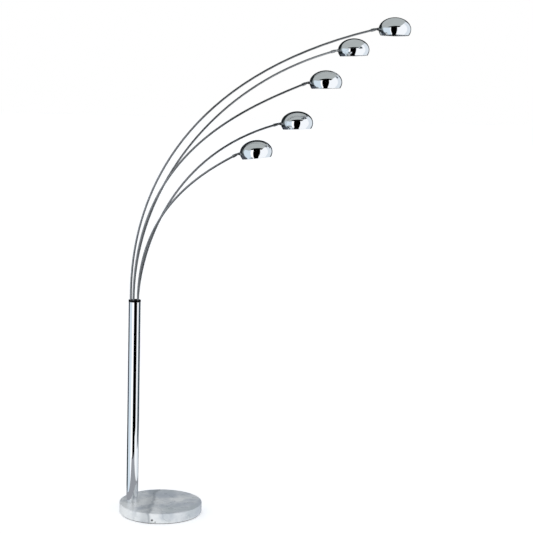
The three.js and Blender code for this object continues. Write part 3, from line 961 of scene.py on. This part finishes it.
# %% Bent chrome tubes
SHANK_SHOWING = 4
FLOOR_OF_GUIDE = 4.3
guide_low, guide_high = node_span("lower_guide")
BEND_PULLS = {1: (354, 176), 2: (30, 541), 3: (552, 340), 4: (424, 543), 5: (162, 988)}


def bent_tube(number):
    lower_pull, upper_pull = BEND_PULLS[number]
    socket = joint_place("arm_swivel", number)
    foot = Vector((socket.x, socket.y, guide_low.z + FLOOR_OF_GUIDE))
    top = Vector((socket.x, socket.y, collar_high.z + SHANK_SHOWING))
    end = joint_place("head_swivel", number)
    along = joint_axis("head_swivel", number)
    shank = (top - foot) / 3
    curve = wire_curve(f"arm_{number}", ARM_RADIUS, 6)
    curve.resolution_u = 40
    spline = curve.splines.new("BEZIER")
    spline.bezier_points.add(2)
    stations = (
        (foot, foot - shank, foot + shank),
        (top, top - shank, top + Vector((0, 0, lower_pull))),
        (end, end - along * upper_pull, end + along),
    )
    for point, (place, before, after) in zip(spline.bezier_points, stations):
        point.handle_left_type = "FREE"
        point.handle_right_type = "FREE"
        point.co = place * MM
        point.handle_left = before * MM
        point.handle_right = after * MM
    print("arm", number, "is", round(spline.calc_length() / MM), "mm of tube")
    return surfaced(from_curve(curve), SHADED_TUBE_CHROME)


for number in ARM_NUMBERS:
    tube = bent_tube(number)
    put(f"bent_arm_{number}", tube, IN_PLACE, f"arm_{number}", "chrome", f"arm_tube_{number}")

# %% [markdown]
# ## Necks
# At each arm's end a small turned sleeve is pressed on. A knuckle turns in it, and the knuckle's
# flat tongue stands between the two cheeks of the shade's fork with a slotted screw through them:
# the swivel and the tilt. They are turned and milled from brass and then chromed, so the outlines
# are softened and the milled eyes have rounded rims. Each is made once and placed five times.

# %% Where the necks and shades stand
def standing(place, forward, level):
    """A place in metres whose X runs forward and whose Y runs level."""
    turn = Matrix((forward, level, forward.cross(level))).transposed().to_4x4()
    return Matrix.Translation(place * MM) @ turn


def neck_place(number):
    end = joint_place("head_swivel", number)
    return standing(end, joint_axis("head_swivel", number), -joint_axis("head_tilt", number))


def shade_place(number):
    """The shade's own directions: its bulb lies along X, straight out from the pivot."""
    bulb_low, bulb_high = node_span(f"bulb_{number}")
    pivot = joint_place("head_tilt", number)
    forward = ((bulb_low + bulb_high) / 2 - pivot).normalized()
    return standing(pivot, forward, -joint_axis("head_tilt", number))


for number in ARM_NUMBERS:
    slope = degrees(asin(shade_place(number).col[0].z))
    print("shade", number, "is tipped up", round(slope, 1), "degrees")

# %% Sleeve and knuckle
SLEEVE_RADIUS = 6
SLEEVE_BACK = -8
SLEEVE_FRONT = 6
GRIP = 4.5  # bore on the arm
BEARING = 3.3  # bore on the knuckle's stem
STEM_RADIUS = 3
STEM_START = 0.8
KNUCKLE_RADIUS = 5.5
KNUCKLE_START = 6.3
KNUCKLE_END = 9.3
PIVOT_X = 14.3
EYE_RADIUS = 4.5
TONGUE_THICKNESS = 3.6
SCREW_HOLE = 1.8
GROOVE = 0.35


def neck_sleeve():
    """A pressed-on sleeve with a fine groove near its front edge."""
    outline = soften([
        (GRIP, SLEEVE_BACK),
        (SLEEVE_RADIUS, SLEEVE_BACK, 0.8),
        (SLEEVE_RADIUS, SLEEVE_FRONT - 2.6),
        (SLEEVE_RADIUS - GROOVE, SLEEVE_FRONT - 2.4),
        (SLEEVE_RADIUS - GROOVE, SLEEVE_FRONT - 2.0),
        (SLEEVE_RADIUS, SLEEVE_FRONT - 1.8),
        (SLEEVE_RADIUS, SLEEVE_FRONT, 0.7),
        (BEARING, SLEEVE_FRONT),
        (BEARING, 0.3),
        (GRIP, 0.3),
    ])
    return moved(turned("neck_sleeve", outline, 64), ALONG_X)


def rounded_eye(name, thickness, reach, rounding=0.5, steps=4):
    """A flat eye about the Y axis: half round at the origin, then straight along X to reach."""
    solid = bmesh.new()
    layers = []
    for side in (-1, 1):
        for k in range(steps + 1):
            turn = pi / 2 * (k if side < 0 else steps - k) / steps
            inset = rounding * (1 - sin(turn))
            depth = side * (thickness / 2 - rounding * (1 - cos(turn)))
            layers.append((EYE_RADIUS - inset, depth))
    rings = []
    for radius, depth in layers:
        ring = [(reach, radius)]
        for k in range(25):
            turn = pi / 2 + pi * k / 24
            ring.append((radius * cos(turn), radius * sin(turn)))
        ring.append((reach, -radius))
        rings.append([solid.verts.new((x * MM, depth * MM, z * MM)) for x, z in ring])
    for lower, upper in zip(rings, rings[1:]):
        bridge(solid, lower, upper)
    solid.faces.new(rings[0])
    solid.faces.new(rings[-1])
    return to_mesh(name, solid)


def cross_hole():
    return moved(drum("cross_hole", SCREW_HOLE, -EYE_RADIUS, EYE_RADIUS, sides=40), ALONG_Y)


def swivel_knuckle():
    outline = soften([
        (0, STEM_START),
        (STEM_RADIUS, STEM_START, 0.4),
        (STEM_RADIUS, KNUCKLE_START),
        (KNUCKLE_RADIUS, KNUCKLE_START, 0.4),
        (KNUCKLE_RADIUS, KNUCKLE_END, 0.9),
        (0, KNUCKLE_END),
    ])
    body = moved(turned("swivel_knuckle", outline, 64), ALONG_X)
    tongue = rounded_eye("tongue", TONGUE_THICKNESS, PIVOT_X - KNUCKLE_END + 1)
    tongue = moved(tongue, Matrix.Rotation(pi, 4, "Z"))
    tongue = shifted(combine(tongue, "DIFFERENCE", [cross_hole()]), x=PIVOT_X)
    return combine(body, "UNION", [tongue])


sleeve_mesh = surfaced(neck_sleeve(), SHADED_TUBE_CHROME)
knuckle_mesh = surfaced(swivel_knuckle(), SHADED_TUBE_CHROME)
for number in ARM_NUMBERS:
    place = neck_place(number)
    knuckle = f"knuckle_{number}"
    put(f"sleeve_{number}", sleeve_mesh, place, f"arm_{number}", "chrome", f"neck_sleeve_{number}")
    put(knuckle, knuckle_mesh, place, knuckle, "chrome", f"swivel_{knuckle}")
print("sleeve faces", len(sleeve_mesh.polygons), "knuckle faces", len(knuckle_mesh.polygons))

# %% Fork, screw and nut
CHEEK_INNER = 2.1
CHEEK_OUTER = 4.3
FORK_BASE_START = 5
FORK_BASE_END = 9
FORK_BASE_RADIUS = 6
NIPPLE_RADIUS = 4
NIPPLE_END = 21.5
SCREW_RADIUS = 1.5
SCREW_HEAD = 3
SCREW_HEAD_START = 4.6
SCREW_HEAD_END = 5.8
SHADE_NUT_START = 12.5
SHADE_NUT_THICKNESS = 3
SHADE_NUT_FLATS = 13


def shade_fork():
    thickness = CHEEK_OUTER - CHEEK_INNER
    middle = (CHEEK_INNER + CHEEK_OUTER) / 2
    cheeks = []
    for side in (-1, 1):
        cheek = rounded_eye("cheek", thickness, FORK_BASE_START + 1)
        cheeks.append(shifted(combine(cheek, "DIFFERENCE", [cross_hole()]), y=side * middle))
    outline = soften([
        (0, FORK_BASE_START),
        (FORK_BASE_RADIUS, FORK_BASE_START, 0.8),
        (FORK_BASE_RADIUS, FORK_BASE_END, 0.5),
        (NIPPLE_RADIUS, FORK_BASE_END),
        (NIPPLE_RADIUS, NIPPLE_END, 0.5),
        (0, NIPPLE_END),
    ])
    base = moved(turned("shade_fork", outline, 64), ALONG_X)
    return combine(base, "UNION", cheeks)


def tilt_screw():
    """A slotted screw, its head towards the front."""
    outline = soften([
        (0, -CHEEK_OUTER),
        (SCREW_RADIUS, -CHEEK_OUTER, 0.3),
        (SCREW_RADIUS, SCREW_HEAD_START),
        (SCREW_HEAD, SCREW_HEAD_START, 0.2),
        (SCREW_HEAD, SCREW_HEAD_END, 0.8),
        (0, SCREW_HEAD_END),
    ])
    slot_low = (-SCREW_HEAD - 1, -0.3, SCREW_HEAD_END - 0.6)
    slot_high = (SCREW_HEAD + 1, 0.3, SCREW_HEAD_END + 1)
    slot = box_mesh("slot", slot_low, slot_high)
    screw = combine(turned("tilt_screw", outline, 48), "DIFFERENCE", [slot])
    return moved(screw, Matrix.Rotation(pi, 4, "Z") @ ALONG_Y)


fork_mesh = surfaced(shade_fork(), SHADED_TUBE_CHROME)
screw_mesh = surfaced(tilt_screw(), ZINC)
nut_mesh = hex_nut("shade_lock_nut", SHADE_NUT_FLATS, SHADE_NUT_THICKNESS, NIPPLE_RADIUS + FIT)
nut_mesh = surfaced(moved(shifted(nut_mesh, z=SHADE_NUT_START), ALONG_X), ZINC)
for number in ARM_NUMBERS:
    place = shade_place(number)
    head = f"head_{number}"
    put(f"fork_{number}", fork_mesh, place, head, "chrome", f"shade_fork_{number}")
    put(f"screw_{number}", screw_mesh, place, head, "zinc_steel", f"tilt_screw_{number}")
    put(f"lock_nut_{number}", nut_mesh, place, head, "zinc_steel", f"shade_nut_{number}")
print("neck pieces so far:", len(pieces_made))

# %% [markdown]
# ## Dome shades
# A shade is spun from one thin disc of steel over a wooden former: a flattened dome that goes on a
# little below its widest level, with the rim rolled over a hair so that it doesn't cut. The outline
# is an ellipse outside, the same ellipse set in by the wall inside, and a small bead between them.
# It is plated outside and left satin inside, so the faces of the inner wall get a second finish.

# %% Spin the shade
SHADE_RADIUS = 65
SHADE_RISE = 48
SHADE_DROP = 23
SHADE_WALL = 1.2
SHADE_CENTRE = 74.3  # from the tilt pivot
RIM_BEAD = 1.0
DOME_STEPS = 30


def dome_arc(set_in):
    """Points from the crown down to the rim, set in from the outside of the dome."""
    rim_turn = -asin(SHADE_DROP / SHADE_RISE)
    points = []
    for k in range(DOME_STEPS + 1):
        turn = pi / 2 + (rim_turn - pi / 2) * k / DOME_STEPS
        radius = (SHADE_RADIUS - set_in) * cos(turn)
        points.append(Vector((0 if k == 0 else radius, (SHADE_RISE - set_in) * sin(turn))))
    return points


def rim_bead(outer, inner):
    """A small round bead that joins the outer wall's edge to the inner wall's."""
    middle = (outer + inner) / 2
    along = (inner - outer).normalized()
    below = Vector((-along.y, along.x))
    if below.y > 0:
        below = -below
    points = []
    for k in range(9):
        turn = radians(-25 + 230 * k / 8)
        points.append(middle - along * RIM_BEAD * cos(turn) + below * RIM_BEAD * sin(turn))
    return points


def spun_shade():
    outer = dome_arc(0)
    inner = dome_arc(SHADE_WALL)
    bead = rim_bead(outer[-1], inner[-1])
    shell = turned("dome_shade", outer[:-1] + bead + inner[-2::-1], 144)
    hole = drum("nipple_hole", NIPPLE_RADIUS + FIT, -SHADE_RADIUS - 1, -SHADE_RADIUS / 2, sides=48)
    shell = combine(shell, "DIFFERENCE", [moved(hole, ALONG_X)])
    shell = surfaced(shell, CHROME, SATIN)
    middle_wall = SHADE_WALL / 2
    for face in shell.polygons:
        centre = face.center / MM
        across = sqrt(centre.x ** 2 + centre.y ** 2) / (SHADE_RADIUS - middle_wall)
        up = centre.z / (SHADE_RISE - middle_wall)
        face.material_index = 1 if across ** 2 + up ** 2 < 1 else 0
    return shifted(shell, x=SHADE_CENTRE)


shade_mesh = spun_shade()
for number in ARM_NUMBERS:
    put(f"dome_{number}", shade_mesh, shade_place(number), f"head_{number}", "chrome", f"shade_{number}")
print("shade faces:", len(shade_mesh.polygons))

# %% [markdown]
# ## Holder and bulb
# Inside each shade a ceramic holder screws onto the nipple and grips a capsule bulb by two pins. The
# bulb is a quartz tube with a pinched foot and a pip where it was sealed. It is modelled hollow,
# with an inner and an outer wall, because solid glass would bend the view of its filament.

# %% Holder, capsule and filament
HOLDER_START = 15.8
HOLDER_END = 35.8
HOLDER_RADIUS = 9
HOLDER_SOCKET = 6
BULB_START = 36.1
BULB_END = 78.1
BULB_RADIUS = 7
FOOT_RADIUS = 5.2
PIP_HEIGHT = 1.0
GLASS_WALL = 0.8
COIL_START = 52
COIL_END = 64
COIL_RADIUS = 1.1
FILAMENT_TURNS = 14
WIRE_RADIUS = 0.16
WIRE_SPREAD = 2.2


def ceramic_holder():
    """A waisted body with a bore for the nipple in its back."""
    outline = soften([
        (NIPPLE_RADIUS + FIT, HOLDER_START),
        (HOLDER_RADIUS - 1.2, HOLDER_START, 0.6),
        (HOLDER_RADIUS - 1.2, HOLDER_START + 5, 0.5),
        (HOLDER_RADIUS, HOLDER_START + 6, 0.4),
        (HOLDER_RADIUS, HOLDER_END - 5, 0.4),
        (HOLDER_RADIUS - 0.8, HOLDER_END - 4.4, 0.2),
        (HOLDER_RADIUS - 0.8, HOLDER_END, 1.0),
        (0, HOLDER_END),
        (0, HOLDER_START + HOLDER_SOCKET),
        (NIPPLE_RADIUS + FIT, HOLDER_START + HOLDER_SOCKET),
    ])
    return moved(turned("ceramic_holder", outline, 64), ALONG_X)


def quartz_capsule():
    """A thin tube, narrower at its foot, with a rounded end and a pip."""
    shoulder = BULB_END - PIP_HEIGHT - BULB_RADIUS
    outer = soften([
        (FOOT_RADIUS, BULB_START),
        (FOOT_RADIUS, BULB_START + 7, 1.5),
        (BULB_RADIUS, BULB_START + 10, 1.5),
        (BULB_RADIUS, shoulder),
    ])[:-1]
    inner = soften([
        (FOOT_RADIUS - GLASS_WALL, BULB_START),
        (FOOT_RADIUS - GLASS_WALL, BULB_START + 7.3, 1.5),
        (BULB_RADIUS - GLASS_WALL, BULB_START + 10.3, 1.5),
        (BULB_RADIUS - GLASS_WALL, shoulder),
    ])[:-1]
    for k in range(13):
        turn = pi / 2 * k / 12
        inside = BULB_RADIUS - GLASS_WALL
        inner.append(Vector((inside * cos(turn), shoulder + inside * sin(turn))))
        if k < 11:
            outer.append(Vector((BULB_RADIUS * cos(turn), shoulder + BULB_RADIUS * sin(turn))))
    inner[-1].x = 0
    outer.append(Vector((0.9, BULB_END - 0.5)))
    outer.append(Vector((0.5, BULB_END - 0.1)))
    outer.append(Vector((0, BULB_END)))
    return moved(turned("quartz_capsule", outer + inner[::-1], 48), ALONG_X)


def coiled_filament():
    """One wire: up from the foot, round the coil, and back down beside it."""
    points = [Vector((BULB_START + 1, -WIRE_SPREAD, 0)), Vector((COIL_START - 2, -WIRE_SPREAD, 0))]
    steps = FILAMENT_TURNS * 12
    for k in range(steps + 1):
        turn = 2 * pi * FILAMENT_TURNS * k / steps
        along = COIL_START + (COIL_END - COIL_START) * k / steps
        points.append(Vector((along, -COIL_RADIUS * cos(turn), COIL_RADIUS * sin(turn))))
    points.append(Vector((COIL_END + 1.5, WIRE_SPREAD, 0)))
    points.append(Vector((BULB_START + 1, WIRE_SPREAD, 0)))
    curve = wire_curve("coiled_filament", WIRE_RADIUS, 2)
    spline = curve.splines.new("POLY")
    spline.points.add(len(points) - 1)
    for corner, point in zip(spline.points, points):
        corner.co = (*(point * MM), 1)
    return surfaced(from_curve(curve), TUNGSTEN)


holder_mesh = surfaced(ceramic_holder(), CERAMIC)
capsule_mesh = surfaced(quartz_capsule(), GLASS)
filament = coiled_filament()
for number in ARM_NUMBERS:
    place = shade_place(number)
    head = f"head_{number}"
    put(f"holder_{number}", holder_mesh, place, head, "ceramic", f"lamp_holder_{number}")
    put(f"capsule_{number}", capsule_mesh, place, head, "bulb_glass", f"bulb_{number}")
    put(f"filament_{number}", filament, place, head, "zinc_steel")
print("holder faces", len(holder_mesh.polygons), "capsule faces", len(capsule_mesh.polygons))

# %% [markdown]
# ## The floor
# The floor is one big pale sheet with hardly any texture, a little self-lit so that it photographs as
# white paper does under bright lights. It is hidden from glossy rays: the studio's own floor colour
# is what the chrome shows, which keeps the reflections soft and even.

# %% Pale sweep
FLOOR_SIZE = 400


def pale_sweep():
    sockets = {"Roughness": 0.9, "Emission Color": (1, 1, 1, 1), "Emission Strength": 0.32}
    material, tree, shader = new_finish("pale_sweep", sockets)
    paper = clouds(tree, lamp_coordinates(tree), 40, 3)
    colour_by(tree, shader, paper, (0.90, 0.90, 0.905, 1), (0.93, 0.93, 0.93, 1))
    return material


sweep = bmesh.new()
bmesh.ops.create_grid(sweep, x_segments=1, y_segments=1, size=FLOOR_SIZE / 2)
floor = bpy.data.objects.new("floor", to_mesh("floor", sweep))
scene.collection.objects.link(floor)
floor.location.z = -0.2 * MM
floor.data.materials.append(pale_sweep())
floor.visible_glossy = False
floor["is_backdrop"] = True

# %% [markdown]
# ## Compare the size
# The visible lamp has to fill the same box as the solid one, so the script prints how far each
# corner of the visible box lies from the solid one's.

# %% Print how far the boxes differ
visual_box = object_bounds()
for side, solid_corner, seen_corner in zip(("low", "high"), cad_box, visual_box):
    moved_by = [round((b - a) / MM, 2) for a, b in zip(solid_corner, seen_corner)]
    print(side, "corner moved by", moved_by, "mm")
print("pieces:", len(pieces_made))
